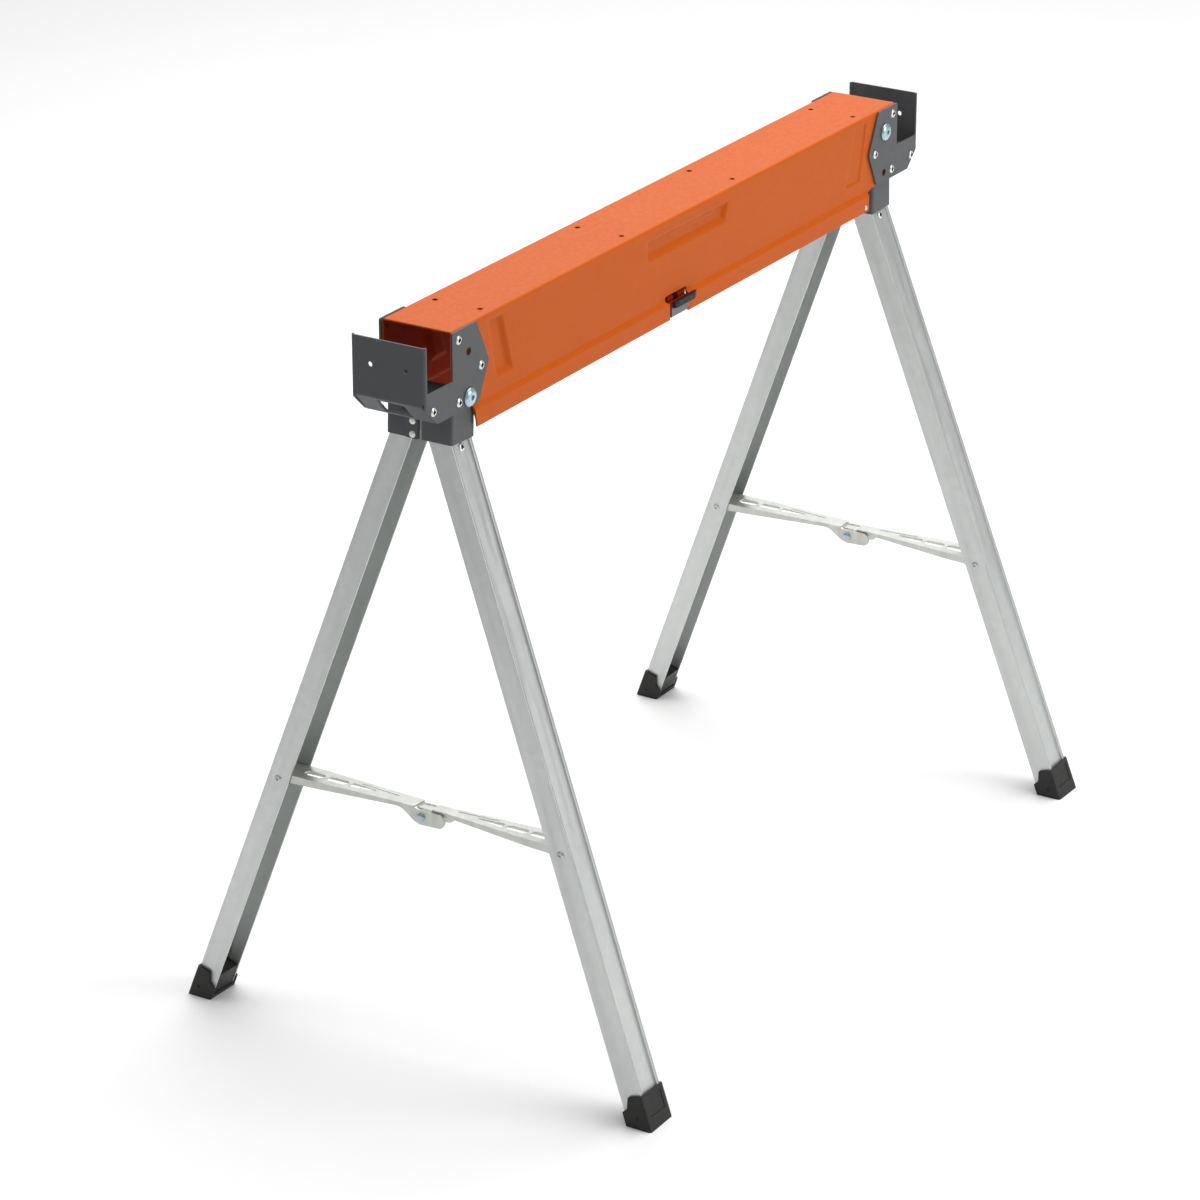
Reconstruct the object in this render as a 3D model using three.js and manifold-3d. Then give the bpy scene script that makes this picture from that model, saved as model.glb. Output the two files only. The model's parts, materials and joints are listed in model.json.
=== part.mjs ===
// Folding sawhorse: a pressed-steel beam on two pairs of folding legs.
// Millimetres, +X along the beam, +Y across it, +Z up, origin on the floor under the beam's middle.
// "left" is the -X end, "right" the +X end, "near" the -Y side and "far" the +Y side.
import * as THREE from 'three';
import { mergeVertices } from 'three/addons/utils/BufferGeometryUtils.js';
import Module from 'manifold-3d';

const wasm = await Module();
wasm.setup();

// ---- driving dimensions ----
const HEIGHT = 812;
const GAP = 0.3;
const RAD = Math.PI / 180;

const BEAM = {
  halfLength: 460,
  halfWidth: 41.3,
  lipHalfWidth: 44.6,
  bottom: 700.6,
  ledgeLow: 718.5,
  ledgeHigh: 723.5,
  sheet: 1.6,
  bend: 4,
};
// Each end of the lips as [x, z] from its foot to its head; the rest of the lip beyond it is cut away.
const LIP_ENDS = {
  left: [[420, 700.6], [423.5, 725]],
  right: [[397, 721.6], [414.8, 725]],
};
const SCREW_HOLE = { xs: [115, 386], y: 27, radius: 3 };
const END_RECESS = { top: [366, 394], bottom: [346, 380], low: 739, high: 805, depth: 0.9 };
const MID_RECESS = { top: 86, bottom: 79, low: 776, high: 799, depth: 0.9 };

const BRACKET = {
  innerFace: 41.6,
  outerFace: 43.8,
  slotStart: 462,
  slotFloor: 761,
  plateOuter: 511.9,
  plateSheet: 2.4,
  plateTop: 810.6,
  bendHeight: 748.5,
  footX: 489.5,
  bottom: 725.5,
};
const PLATE_HOLE = { y: 21, z: 783, radius: 2.8 };
const CHEEK_RIVETS = [[451, 801.5], [410.5, 763.3], [451, 735.7], [497.4, 740.4]];
const RIVET = { shank: 2.4, head: 4.6, rise: 1.7 };
const FLANGE_SLOT = { halfWidth: 13, margin: 6 };

const PIVOT = { x: 432.8, low: 736.2, high: 784.5, bolt: 4, hole: 4.4 };
// Each end's name, its direction along x and the height of its bolt.
const ENDS = [['left', -1, PIVOT.low], ['right', 1, PIVOT.high]];
const BOLT_HEAD = { radius: 10, thick: 4.6, socket: 3, socketDepth: 2.2 };
const NUT = { radius: 7.5, thick: 6.5 };
const SLEEVE = { inner: 4.4, outer: 7.2 };

const LEAN = 2.46 * RAD;
const SPLAY = 20.2 * RAD;
const MOUTH = { x: 437.8, z: 688 };

const HUB = { halfX: 21, halfY: 39.3, sheet: 1.8, low: 2, high: 38, earRadius: 21 };
const STRAP = { sheet: 1.5, inner: 0.8, outer: 15.5, high: 31 };
const LEG_PIN = { y: 20, z: 27, radius: 3, hole: 3.3, head: 4, rise: 1.5 };

const LEG = {
  halfWidth: 18.75,
  depth: 25.4,
  sheet: 1.6,
  web: 7.2,
  strip: 4.9,
  slope: 1.3,
  recess: 1.8,
  above: 9,
  below: 750,
  frontChamfer: 4,
  backChamfer: [12.4, 17],
};
const STOP_RIVET = { u: -35.7, shank: 2.2, head: 4, rise: 3 };
const FOOT = {
  halfWidth: 22.3,
  proud: 1.9,
  depth: 28.4,
  split: 16,
  tall: -727,
  low: -741.5,
  wall: 3.2,
  length: 790,
};

const BRACE_PIN = { y: 175.1, z: -409.8, radius: 3, hole: 3.3, head: 4.2, rise: 2.4 };
const KNUCKLE_DROP = 4.1;
const LINK = {
  sheet: 1.5,
  top: 6.4,
  start: -4,
  flange: 8.6,
  flangeTaper: 2,
  earRadius: 6.4,
  wide: 16.3,
  taperStart: 66,
  taperEnd: 124,
  narrowNear: 7,
  narrowFar: 10.4,
  webEndNear: 164,
  webEndFar: 112,
  knuckleRadius: 8.5,
  tail: 23,
};
// Slots in the link's web, each from one y to another, with its half width.
const LINK_SLOTS = [[22, 47, 5], [50.5, 77, 5], [80, 108, 3]];
const KNUCKLE_HEAD = { radius: 4.4, rise: 2 };

const LATCH_NOTCH = { x0: -49.8, x1: -5.2, inner: -37.3, top: 728 };
const CATCH = {
  x0: -42.8,
  x1: -7.2,
  low: 702,
  high: 719,
  outer: -45.2,
  step: -31.5,
  nose: -24,
  noseLow: 705,
  noseTop: 711.3,
};
const PADDLE = { x0: -40.8, x1: 7, low: 714, high: 720.8, outer: -50.5, corner: 3, tip: 4 };
const LATCH_PIN = { y: -36.5, z: 721.5, radius: 2, hole: 2.3, barrel: 3.8, x0: -49, x1: -3.3 };
const GUIDE = {
  ears: [[-47.5, -46], [-6.3, -4.8]],
  low: 717.5,
  top: 742,
  clear: 729,
  face: -39.3,
  sheet: 1.3,
  inner: -32.8,
};
const LATCH_SPRING = { x0: -30.4, x1: -21.9, coil: 2.95, wire: 0.4, turns: 4 };
const SPRING_POCKET = { x0: -31, x1: -21.3, floor: 717.2, margin: 5 };
// How far the cutting tools reach, well past the part they cut.
const REACH = 60;

// ---- solids ----
const toSolid = (geometry) => {
  const bare = geometry.clone();
  bare.deleteAttribute('normal');
  bare.deleteAttribute('uv');
  const merged = mergeVertices(bare, 1e-4);
  const triVerts = [];
  for (let i = 0; i < merged.index.count; i += 3) {
    const [a, b, c] = merged.index.array.slice(i, i + 3);
    if (a !== b && b !== c && c !== a) triVerts.push(a, b, c);
  }
  return new wasm.Manifold(new wasm.Mesh({
    numProp: 3,
    vertProperties: new Float32Array(merged.attributes.position.array),
    triVerts: new Uint32Array(triVerts),
  }));
};

const toGeometry = (solid) => {
  const mesh = solid.getMesh();
  const geometry = new THREE.BufferGeometry();
  geometry.setAttribute('position', new THREE.BufferAttribute(mesh.vertProperties, 3));
  geometry.setIndex(new THREE.BufferAttribute(mesh.triVerts, 1));
  geometry.computeVertexNormals();
  return geometry;
};

// The same solid on the other side of the y = 0 plane.
const flipY = (solid) => {
  const geometry = toGeometry(solid).applyMatrix4(new THREE.Matrix4().makeScale(1, -1, 1));
  geometry.setIndex([...geometry.index.array].reverse());
  return toSolid(geometry);
};

const join = (...solids) => solids.reduce((all, one) => all.add(one));
const cut = (solid, ...tools) => tools.reduce((rest, one) => rest.subtract(one), solid);

const block = (x0, x1, y0, y1, z0, z1) => {
  const geometry = new THREE.BoxGeometry(x1 - x0, y1 - y0, z1 - z0);
  return toSolid(geometry.translate((x0 + x1) / 2, (y0 + y1) / 2, (z0 + z1) / 2));
};

// An outline of [first, second] points, extruded from low to high along the named axis.
// The outline lies in (y, z) for axis x, in (x, z) for axis y and in (x, y) for axis z.
const slab = (outline, axis, low, high) => {
  const shape = new THREE.Shape(outline.map(([a, b]) => new THREE.Vector2(a, b)));
  const geometry = new THREE.ExtrudeGeometry(shape, { depth: high - low, bevelEnabled: false });
  const [X, Y, Z] = [[1, 0, 0], [0, 1, 0], [0, 0, 1]].map((v) => new THREE.Vector3(...v));
  const turn = new THREE.Matrix4();
  if (axis === 'x') turn.makeBasis(Y, Z, X).setPosition(low, 0, 0);
  if (axis === 'y') turn.makeBasis(X, Z, Y.clone().negate()).setPosition(0, high, 0);
  if (axis === 'z') turn.setPosition(0, 0, low);
  return toSolid(geometry.applyMatrix4(turn));
};

// A cylinder along an axis, from low to high, about the point given by its other two coordinates.
const rod = (axis, radius, low, high, a, b, sides = 12) => {
  const geometry = new THREE.CylinderGeometry(radius, radius, high - low, sides);
  geometry.translate(0, (low + high) / 2, 0);
  if (axis === 'x') geometry.rotateZ(-Math.PI / 2).translate(0, a, b);
  if (axis === 'y') geometry.translate(a, 0, b);
  if (axis === 'z') geometry.rotateX(Math.PI / 2).translate(a, b, 0);
  return toSolid(geometry);
};

// A shallow dome of revolution about an axis, its flat side at base, rising by rise (which may be negative).
const dome = (axis, radius, base, rise, a, b) => {
  const steps = 3;
  const profile = [new THREE.Vector2(0, 0)];
  for (let i = 0; i <= steps; i += 1) {
    const angle = (i / steps) * Math.PI / 2;
    const r = i === steps ? 0 : radius * Math.cos(angle) ** 0.6;
    profile.push(new THREE.Vector2(r, Math.abs(rise) * (0.35 + 0.65 * Math.sin(angle))));
  }
  profile.splice(1, 0, new THREE.Vector2(radius, 0));
  const geometry = new THREE.LatheGeometry(profile, 10);
  if (rise < 0) geometry.rotateX(Math.PI);
  geometry.translate(0, base, 0);
  if (axis === 'x') geometry.rotateZ(-Math.PI / 2).translate(0, a, b);
  if (axis === 'y') geometry.translate(a, 0, b);
  return toSolid(geometry);
};

// ---- materials and nodes ----
const COLOURS = {
  beam_paint: [0xc85a2d, 0.45, 0.1],
  bracket_paint: [0x55585b, 0.55, 0.2],
  galvanised: [0xc4c6c2, 0.42, 0.85],
  zinc: [0xc9d2d6, 0.3, 0.9],
  foot_plastic: [0x3a3938, 0.6, 0],
  latch_plastic: [0x262626, 0.5, 0],
};
const model = new THREE.Group();
const node = (name, solid, finish, parent = model) => {
  const [color, roughness, metalness] = COLOURS[finish];
  const material = new THREE.MeshStandardMaterial({ color, roughness, metalness });
  const mesh = new THREE.Mesh(toGeometry(solid), material);
  mesh.name = name;
  parent.add(mesh);
  return mesh;
};

// ---- beam ----
const beamProfile = () => {
  const { halfWidth: w, lipHalfWidth: l, bottom, ledgeLow, ledgeHigh, sheet: t, bend } = BEAM;
  const half = [
    [l, bottom], [l, ledgeLow], [w, ledgeHigh], [w, HEIGHT - bend], [w - bend * 0.3, HEIGHT - bend * 0.3],
    [w - bend, HEIGHT],
  ];
  const inner = half.map(([y, z]) => [y - t, z >= HEIGHT - bend * 0.3 ? z - t : z]);
  const mirror = (points) => points.map(([y, z]) => [-y, z]).reverse();
  return [...half, ...mirror(half), ...mirror(inner).reverse(), ...inner.reverse()];
};

const recesses = (side) => {
  const face = side * BEAM.halfWidth;
  const band = (depth) => [face, face - side * depth].sort((a, b) => a - b);
  const { top, bottom, low, high } = END_RECESS;
  const ends = [-1, 1].map((end) => {
    const outline = [[top[0], high], [top[1], high], [bottom[1], low], [bottom[0], low]];
    return slab(outline.map(([x, z]) => [end * x, z]), 'y', ...band(END_RECESS.depth));
  });
  const m = MID_RECESS;
  const middle = [[-m.bottom, m.low], [m.bottom, m.low], [m.top, m.high], [-m.top, m.high]];
  return [...ends, slab(middle, 'y', ...band(m.depth))];
};

// The bolt's hole goes through both sides; the other height's hole is in the near side only.
const pivotHoles = (end, boltHeight) => [PIVOT.low, PIVOT.high].map((z) => {
  const reach = z === boltHeight ? REACH : 0;
  return rod('y', PIVOT.hole, -REACH, reach, end * PIVOT.x, z);
});

// What is cut from one end of the beam: the lips beyond their ends, and the holes.
const beamEndCuts = (endName, end, boltHeight) => {
  const past = BEAM.halfLength + 1;
  const under = BEAM.bottom - 1;
  const [foot, head] = LIP_ENDS[endName];
  const beyondLip = [[foot[0], under], foot, head, [past, head[1]], [past, under]];
  const cuts = [slab(beyondLip.map(([x, z]) => [end * x, z]), 'y', -REACH, REACH)];
  cuts.push(...pivotHoles(end, boltHeight));
  for (const [x, z] of CHEEK_RIVETS.slice(0, 3)) {
    cuts.push(rod('y', RIVET.shank + GAP, -REACH, REACH, end * x, z, 8));
  }
  for (const x of SCREW_HOLE.xs) {
    for (const y of [-SCREW_HOLE.y, SCREW_HOLE.y]) {
      cuts.push(rod('z', SCREW_HOLE.radius, HEIGHT - 10, HEIGHT + 1, end * x, y, 10));
    }
  }
  return cuts;
};

const makeBeam = () => {
  const beam = slab(beamProfile(), 'x', -BEAM.halfLength, BEAM.halfLength);
  const n = LATCH_NOTCH;
  const notch = block(n.x0, n.x1, -REACH, n.inner, BEAM.bottom - 1, n.top);
  const ends = ENDS.flatMap(([endName, end, boltHeight]) => beamEndCuts(endName, end, boltHeight));
  return cut(beam, ...ends, ...recesses(-1), ...recesses(1), notch);
};

// ---- end brackets ----
const cheekOutline = (end) => {
  const b = BRACKET;
  const inside = b.plateOuter - b.plateSheet;
  const top = HEIGHT - GAP;
  return [
    [418, top], [396, 765], [416, b.bottom], [b.footX, b.bottom], [b.plateOuter, b.bendHeight],
    [b.plateOuter, b.plateTop], [inside, b.plateTop], [inside, b.slotFloor], [b.slotStart, b.slotFloor],
    [b.slotStart, top],
  ].map(([x, z]) => [end * x, z]);
};

// The upright end plate and the flange that slopes inwards below it.
const plateOutline = (end) => {
  const b = BRACKET;
  const t = b.plateSheet;
  const across = t * Math.SQRT1_2;
  const inBend = t * Math.tan(Math.PI / 8);
  return [
    [b.plateOuter, b.plateTop], [b.plateOuter, b.bendHeight], [b.footX, b.bottom],
    [b.footX - across, b.bottom + across], [b.plateOuter - t, b.bendHeight + inBend],
    [b.plateOuter - t, b.plateTop],
  ].map(([x, z]) => [end * x, z]);
};

const makeBracket = (end, boltHeight) => {
  const b = BRACKET;
  const cheek = cheekOutline(end);
  const cuts = [];
  const far = b.plateOuter + 8;
  const [plate0, plate1] = [end * (b.plateOuter - 10), end * far].sort((p, q) => p - q);
  for (const y of [-PLATE_HOLE.y, PLATE_HOLE.y]) {
    cuts.push(rod('x', PLATE_HOLE.radius, plate0, plate1, y, PLATE_HOLE.z, 12));
  }
  const { halfWidth, margin } = FLANGE_SLOT;
  const [slot0, slot1] = [end * (b.footX + margin), end * (b.plateOuter - margin)].sort((p, q) => p - q);
  cuts.push(block(slot0, slot1, -halfWidth, halfWidth, b.bottom - 2, b.bendHeight + margin));
  cuts.push(...pivotHoles(end, boltHeight));
  for (const [x, z] of CHEEK_RIVETS) {
    cuts.push(rod('y', RIVET.shank + GAP, -REACH, REACH, end * x, z, 8));
  }
  const bracket = join(
    slab(cheek, 'y', -b.outerFace, -b.innerFace),
    slab(cheek, 'y', b.innerFace, b.outerFace),
    slab(plateOutline(end), 'y', -b.outerFace, b.outerFace),
  );
  return cut(bracket, ...cuts);
};

const makeCheekRivet = (end, side, [x, z], inner) => {
  const face = side * (BRACKET.outerFace + GAP);
  const [low, high] = side < 0 ? [face - 0.1, -inner] : [inner, face + 0.1];
  const shank = rod('y', RIVET.shank, low, high, end * x, z, 8);
  return join(shank, dome('y', RIVET.head, face, side * RIVET.rise, end * x, z));
};

// ---- pivots ----
const makeBolt = (end, z) => {
  const x = end * PIVOT.x;
  const face = -(BRACKET.outerFace + GAP);
  const nutEnd = BRACKET.outerFace + GAP + NUT.thick + 2;
  const head = rod('y', BOLT_HEAD.radius, face - BOLT_HEAD.thick, face, x, z, 24);
  const top = face - BOLT_HEAD.thick;
  const socket = rod('y', BOLT_HEAD.socket, top - 1, top + BOLT_HEAD.socketDepth, x, z, 6);
  return cut(join(head, rod('y', PIVOT.bolt, face - 1, nutEnd, x, z)), socket);
};

const makeNut = (end, z) => {
  const face = BRACKET.outerFace + GAP;
  const x = end * PIVOT.x;
  return cut(rod('y', NUT.radius, face, face + NUT.thick, x, z, 6), rod('y', PIVOT.bolt + GAP, 0, REACH, x, z));
};

// ---- frame of one end: the legs' leaning plane, its origin at the hub's mouth ----
const endGroup = (end) => {
  const group = new THREE.Group();
  group.position.set(end * MOUTH.x, 0, MOUTH.z);
  group.rotation.y = -end * LEAN;
  model.add(group);
  group.updateMatrixWorld(true);
  return group;
};

const pivotInside = (group, end, z) => group.worldToLocal(new THREE.Vector3(end * PIVOT.x, 0, z));

const makeHubHalf = (side, pivot) => {
  const { halfX: X, halfY: Y, sheet: t, low, high, earRadius } = HUB;
  const y = (a, b) => (side < 0 ? [-b, -a] : [a, b]);
  const front = block(-X, X, ...y(Y - t, Y), low, pivot.z);
  const ear = rod('y', earRadius, ...y(Y - t, Y), pivot.x, pivot.z, 32);
  const walls = [block(-X, -X + t, ...y(GAP / 2, Y), low, high), block(X - t, X, ...y(GAP / 2, Y), low, high)];
  let hub = join(front, ear, ...walls);
  if (side > 0) {
    const into = 0.5;
    const strap = [STRAP.inner, STRAP.outer, low, STRAP.high];
    hub = join(hub, block(X - into, X + STRAP.sheet, ...strap), block(-X - STRAP.sheet, -X + into, ...strap));
  }
  const pinHole = rod('x', LEG_PIN.hole, -REACH, REACH, side * LEG_PIN.y, LEG_PIN.z);
  return cut(hub, pinHole, rod('y', PIVOT.hole, -REACH, REACH, pivot.x, pivot.z));
};

const makeSleeve = (pivot) => {
  const reach = HUB.halfY - HUB.sheet - GAP;
  const tube = rod('y', SLEEVE.outer, -reach, reach, pivot.x, pivot.z, 20);
  return cut(tube, rod('y', SLEEVE.inner, -REACH, REACH, pivot.x, pivot.z, 20));
};

const makePin = (radius, head, rise, reach, y, z) => join(
  rod('x', radius, -reach - 0.2, reach + 0.2, y, z, 10),
  dome('x', head, reach, rise, y, z),
  dome('x', head, -reach, -rise, y, z),
);

// ---- leg, drawn standing about its top pin: x across the web, y outwards, z up the leg ----
const legProfile = () => {
  const { halfWidth: w, depth, sheet: t, web, strip, slope, recess } = LEG;
  const half = [
    [w, web - depth], [w, web - 1], [w - 1, web], [w - strip, web], [w - strip - slope, web - recess],
  ];
  const inner = [
    [w - t, web - depth], [w - t, web - t], [w - strip - 0.6, web - t],
    [w - strip - slope - 0.5, web - t - recess],
  ];
  const mirror = (points) => points.map(([x, y]) => [-x, y]).reverse();
  return [...half, ...mirror(half), ...mirror(inner).reverse(), ...inner.reverse()];
};

const makeLeg = (side, brace) => {
  const { web, depth, above, below, frontChamfer: c, backChamfer: [across, down] } = LEG;
  const open = web - depth - 1;
  const over = above + 1;
  const front = [[web - c, over], [web + 1, over], [web + 1, over - c]];
  const back = [[open, over - down], [open, over], [open + across + 1, over]];
  const leg = cut(
    slab(legProfile(), 'z', -below, above),
    slab(front, 'x', -REACH, REACH),
    slab(back, 'x', -REACH, REACH),
    rod('x', LEG_PIN.hole, -REACH, REACH, 0, 0),
    rod('x', BRACE_PIN.hole, -REACH, REACH, brace.y, brace.z),
    rod('y', STOP_RIVET.shank + GAP, -2, REACH, 0, STOP_RIVET.u, 8),
  );
  return side < 0 ? flipY(leg) : leg;
};

const makeStopRivet = (side) => {
  const face = LEG.web - LEG.recess + GAP;
  const rivet = join(
    rod('y', STOP_RIVET.shank, face - LEG.sheet - 1, face + 0.5, 0, STOP_RIVET.u, 8),
    dome('y', STOP_RIVET.head, face, STOP_RIVET.rise, 0, STOP_RIVET.u),
  );
  return side < 0 ? flipY(rivet) : rivet;
};

const makeFoot = (side) => {
  const { halfWidth: w, proud, depth, split, tall, low, wall, length } = FOOT;
  const outer = LEG.web + proud;
  const body = join(
    block(-w, w, outer - split, outer, -length, tall),
    block(-w, w, outer - depth, outer - split + 1, -length, low),
  );
  const pocket = block(-w + wall, w - wall, outer - depth - 1, LEG.web + GAP, -LEG.below - GAP, tall + 5);
  const foot = cut(body, pocket);
  return side < 0 ? flipY(foot) : foot;
};

// A slab below the floor, in the frame of the given group.
const belowFloor = (group) => {
  group.updateWorldMatrix(true, false);
  const geometry = new THREE.BoxGeometry(1600, 1600, 400);
  geometry.translate(0, 0, -200);
  geometry.applyMatrix4(group.matrixWorld.clone().invert());
  return toSolid(geometry);
};

// ---- brace link, drawn from its leg pin at the origin: y towards the middle, z up ----
// Both flanges seen from the side, as one plate from x0 to x1 that the plan then thins to two.
const linkSide = (side, x0, x1) => {
  const { top, start, flange, flangeTaper, earRadius, knuckleRadius: r, tail } = LINK;
  const end = BRACE_PIN.y;
  const low = top - flange;
  const bar = [[start, top], [start, low], [end, low + flangeTaper], [end, top]];
  const plate = join(
    slab(bar, 'x', x0, x1),
    rod('x', earRadius, x0, x1, 0, 0, 20),
    rod('x', r, x0, x1, end, -KNUCKLE_DROP, 24),
  );
  if (side < 0) return plate;
  const tailEnd = rod('x', r, x0, x1, end + tail, 1 - KNUCKLE_DROP, 24);
  return join(plate, tailEnd, block(x0, x1, end, end + tail, 1 - KNUCKLE_DROP - r, r - KNUCKLE_DROP));
};

// The link seen from above, every edge moved in by inset.
const linkPlan = (narrow, inset) => {
  const { wide, taperStart, taperEnd } = LINK;
  const length = BRACE_PIN.y + REACH;
  const edge = [[wide, -10], [wide, taperStart], [narrow, taperEnd], [narrow, length]];
  const right = edge.map(([x, y]) => [x - inset, y]);
  return [...right, ...right.map(([x, y]) => [-x, y]).reverse()];
};

// The link is a folded channel: two flanges that follow the taper, and the slotted web over them.
const makeLink = (side) => {
  const { sheet: t, top, start, wide, narrowNear, narrowFar, webEndNear, webEndFar } = LINK;
  const narrow = side > 0 ? narrowFar : narrowNear;
  const outer = slab(linkPlan(narrow, 0), 'z', -REACH, REACH);
  const inner = slab(linkPlan(narrow, t), 'z', -REACH - 1, REACH + 1);
  const flanges = linkSide(side, -wide, wide).intersect(outer.subtract(inner));
  const slots = LINK_SLOTS.map(([y0, y1, half]) => block(-half, half, y0, y1, top - 2 * t, top + t));
  const web = block(-wide, wide, start, side > 0 ? webEndFar : webEndNear, top - t, top).intersect(outer);
  const link = cut(join(flanges, cut(web, ...slots)), rod('x', BRACE_PIN.hole, -REACH, REACH, 0, 0));
  if (side < 0) {
    return cut(link, rod('x', LEG_PIN.hole, -REACH, REACH, BRACE_PIN.y, -KNUCKLE_DROP));
  }
  const heads = [-1, 1].map((face) => {
    const base = face * (narrow - 0.2);
    return dome('x', KNUCKLE_HEAD.radius, base, face * KNUCKLE_HEAD.rise, BRACE_PIN.y, -KNUCKLE_DROP);
  });
  return flipY(join(link, ...heads));
};

// ---- latch: a sprung lever under the beam's near side; its nose holds the folded legs up ----
const makeCatch = () => {
  const c = CATCH;
  const p = LATCH_PIN;
  const outline = [
    [c.outer, c.low], [c.nose, c.noseLow], [c.nose, c.noseTop], [c.step, c.noseTop], [c.step, c.high],
    [c.outer, c.high],
  ];
  const lever = join(slab(outline, 'x', c.x0, c.x1), rod('x', p.barrel, c.x0, c.x1, p.y, p.z, 20));
  const { x0, x1, floor, margin } = SPRING_POCKET;
  const pocket = block(x0, x1, p.y - margin, p.y + margin + 1, floor, p.z + margin);
  return cut(lever, rod('x', p.hole, -REACH, 0, p.y, p.z), pocket);
};

const makePaddle = () => {
  const p = PADDLE;
  const back = CATCH.outer - GAP;
  const outline = [
    [p.x0, back], [p.x0, p.outer + p.corner], [p.x0 + p.corner, p.outer], [p.x1 - p.tip, p.outer],
    [p.x1, p.outer + p.tip], [p.x1, back],
  ];
  return slab(outline, 'z', p.low, p.high);
};

const makeGuide = () => {
  const g = GUIDE;
  const plate = block(g.ears[0][0], g.ears[1][1], g.face, g.face + g.sheet, g.clear, g.top);
  const ears = g.ears.map(([x0, x1]) => block(x0, x1, g.face, g.inner, g.low, g.top));
  return cut(join(plate, ...ears), rod('x', LATCH_PIN.hole, -REACH, 0, LATCH_PIN.y, LATCH_PIN.z));
};

const makeLatchSpring = () => {
  const { x0, x1, coil, wire, turns } = LATCH_SPRING;
  const points = [];
  const steps = turns * 8;
  for (let i = 0; i <= steps; i += 1) {
    const angle = (i / steps) * turns * 2 * Math.PI;
    const x = x0 + wire + (x1 - x0 - 2 * wire) * (i / steps);
    const y = LATCH_PIN.y + coil * Math.cos(angle);
    points.push(new THREE.Vector3(x, y, LATCH_PIN.z + coil * Math.sin(angle)));
  }
  const section = new THREE.Shape();
  section.absarc(0, 0, wire, 0, 2 * Math.PI);
  const extrudePath = new THREE.CatmullRomCurve3(points);
  const options = { steps, extrudePath, curveSegments: 3, bevelEnabled: false };
  return toSolid(new THREE.ExtrudeGeometry(section, options));
};

// ---- assembly ----
node('beam_channel', makeBeam(), 'beam_paint');
const SIDES = [['near', -1], ['far', 1]];
for (const [endName, end, pivotZ] of ENDS) {
  node(`end_bracket_${endName}`, makeBracket(end, pivotZ), 'bracket_paint');
  for (const [sideName, side] of SIDES) {
    CHEEK_RIVETS.forEach((place, i) => {
      const inner = i < 3 ? BEAM.halfWidth - BEAM.sheet + GAP : BRACKET.innerFace + GAP;
      node(`cheek_rivet_${endName}_${sideName}_${i + 1}`, makeCheekRivet(end, side, place, inner), 'zinc');
    });
  }
  node(`pivot_bolt_${endName}`, makeBolt(end, pivotZ), 'zinc');
  node(`pivot_nut_${endName}`, makeNut(end, pivotZ), 'zinc');

  const frame = endGroup(end);
  const pivot = pivotInside(frame, end, pivotZ);
  node(`pivot_sleeve_${endName}`, makeSleeve(pivot), 'zinc', frame);
  for (const [sideName, side] of SIDES) {
    const name = `${endName}_${sideName}`;
    node(`hub_${name}`, makeHubHalf(side, pivot), 'bracket_paint', frame);
    const pinReach = HUB.halfX + GAP;
    const pin = makePin(LEG_PIN.radius, LEG_PIN.head, LEG_PIN.rise, pinReach, side * LEG_PIN.y, LEG_PIN.z);
    node(`leg_pin_${name}`, pin, 'zinc', frame);

    const leg = new THREE.Group();
    leg.position.set(0, side * LEG_PIN.y, LEG_PIN.z);
    leg.rotation.x = side * SPLAY;
    frame.add(leg);
    leg.updateWorldMatrix(true, false);
    const across = BRACE_PIN.y - LEG_PIN.y;
    const down = BRACE_PIN.z - LEG_PIN.z;
    const brace = {
      y: across * Math.cos(SPLAY) + down * Math.sin(SPLAY),
      z: -across * Math.sin(SPLAY) + down * Math.cos(SPLAY),
    };
    node(`leg_${name}`, makeLeg(side, brace), 'galvanised', leg);
    node(`stop_rivet_${name}`, makeStopRivet(side), 'zinc', leg);
    node(`foot_${name}`, makeFoot(side).subtract(belowFloor(leg)), 'foot_plastic', leg);
    const braceReach = LEG.halfWidth + GAP;
    const { radius, head, rise } = BRACE_PIN;
    const bracePin = makePin(radius, head, rise, braceReach, side * brace.y, brace.z);
    node(`brace_pin_${name}`, bracePin, 'zinc', leg);

    const link = new THREE.Group();
    link.position.set(0, side * BRACE_PIN.y, BRACE_PIN.z);
    frame.add(link);
    node(`brace_link_${name}`, makeLink(side), 'galvanised', link);
  }
}
node('latch_catch', makeCatch(), 'bracket_paint');
node('latch_paddle', makePaddle(), 'latch_plastic');
node('latch_guide', makeGuide(), 'zinc');
node('latch_pin', rod('x', LATCH_PIN.radius, LATCH_PIN.x0, LATCH_PIN.x1, LATCH_PIN.y, LATCH_PIN.z), 'zinc');
node('latch_spring', makeLatchSpring(), 'zinc');

model.updateMatrixWorld(true);
export default model;
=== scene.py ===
"""Looks of the folding sawhorse: sheet-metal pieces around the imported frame, in millimetres until placed."""
import json
import math

import bmesh
import bpy
from mathutils import Matrix, Vector


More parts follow.
